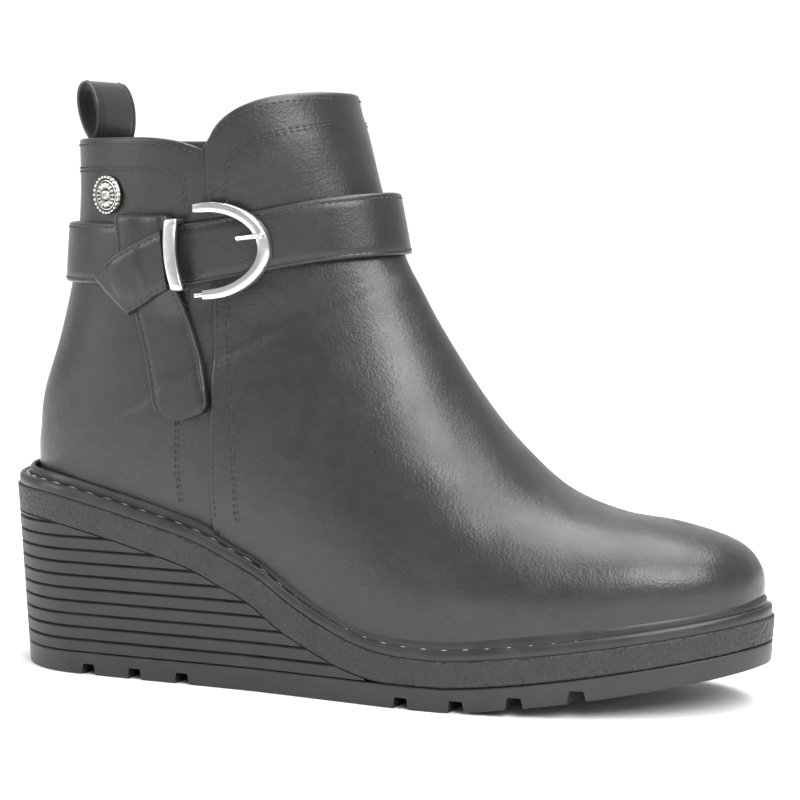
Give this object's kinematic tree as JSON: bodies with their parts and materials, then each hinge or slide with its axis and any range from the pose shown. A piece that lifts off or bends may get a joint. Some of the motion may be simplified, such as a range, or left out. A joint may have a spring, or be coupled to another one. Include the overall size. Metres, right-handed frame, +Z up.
{
  "type": "ankle boot",
  "caption": "Ankle boot with a wedge sole and welt, a hollow leather upper open at the collar, a knotted ankle strap with a buckle, a pull loop and a round ornament.",
  "frame": {"origin": "middle of the bounding box in X and Y, at the floor", "axes": "+X toward the toe, +Y toward the inner side of the right foot, +Z up"},
  "size_m": [0.2672, 0.0952, 0.2022],
  "materials": {
    "outsole_rubber": "smooth satin black",
    "wedge_rubber": "matte black, grooved",
    "midsole_rubber": "pebbled matte black",
    "welt_rubber": "satin black with light stitching",
    "insole_leather": "dark matt lining leather",
    "upper_leather": "black satin leather with a fine grain",
    "strap_leather": "black satin leather",
    "tail_leather": "black satin leather",
    "wrap_leather": "black satin leather",
    "bar_metal": "polished silver",
    "frame_metal": "polished silver",
    "prong_metal": "polished silver",
    "ornament_metal": "silver with a dark patina",
    "loop_leather": "black satin leather"
  },
  "bodies": {
    "root": {"outsole": "outsole_rubber", "wedge": "wedge_rubber", "midsole": "midsole_rubber", "welt": "welt_rubber", "insole": "insole_leather", "upper": "upper_leather", "ankle_strap": "strap_leather", "strap_tail": "tail_leather", "strap_wrap": "wrap_leather", "buckle_bar": "bar_metal", "buckle_frame": "frame_metal", "buckle_prong": "prong_metal", "ornament": "ornament_metal", "pull_loop": "loop_leather"}
  },
  "joints": []
}
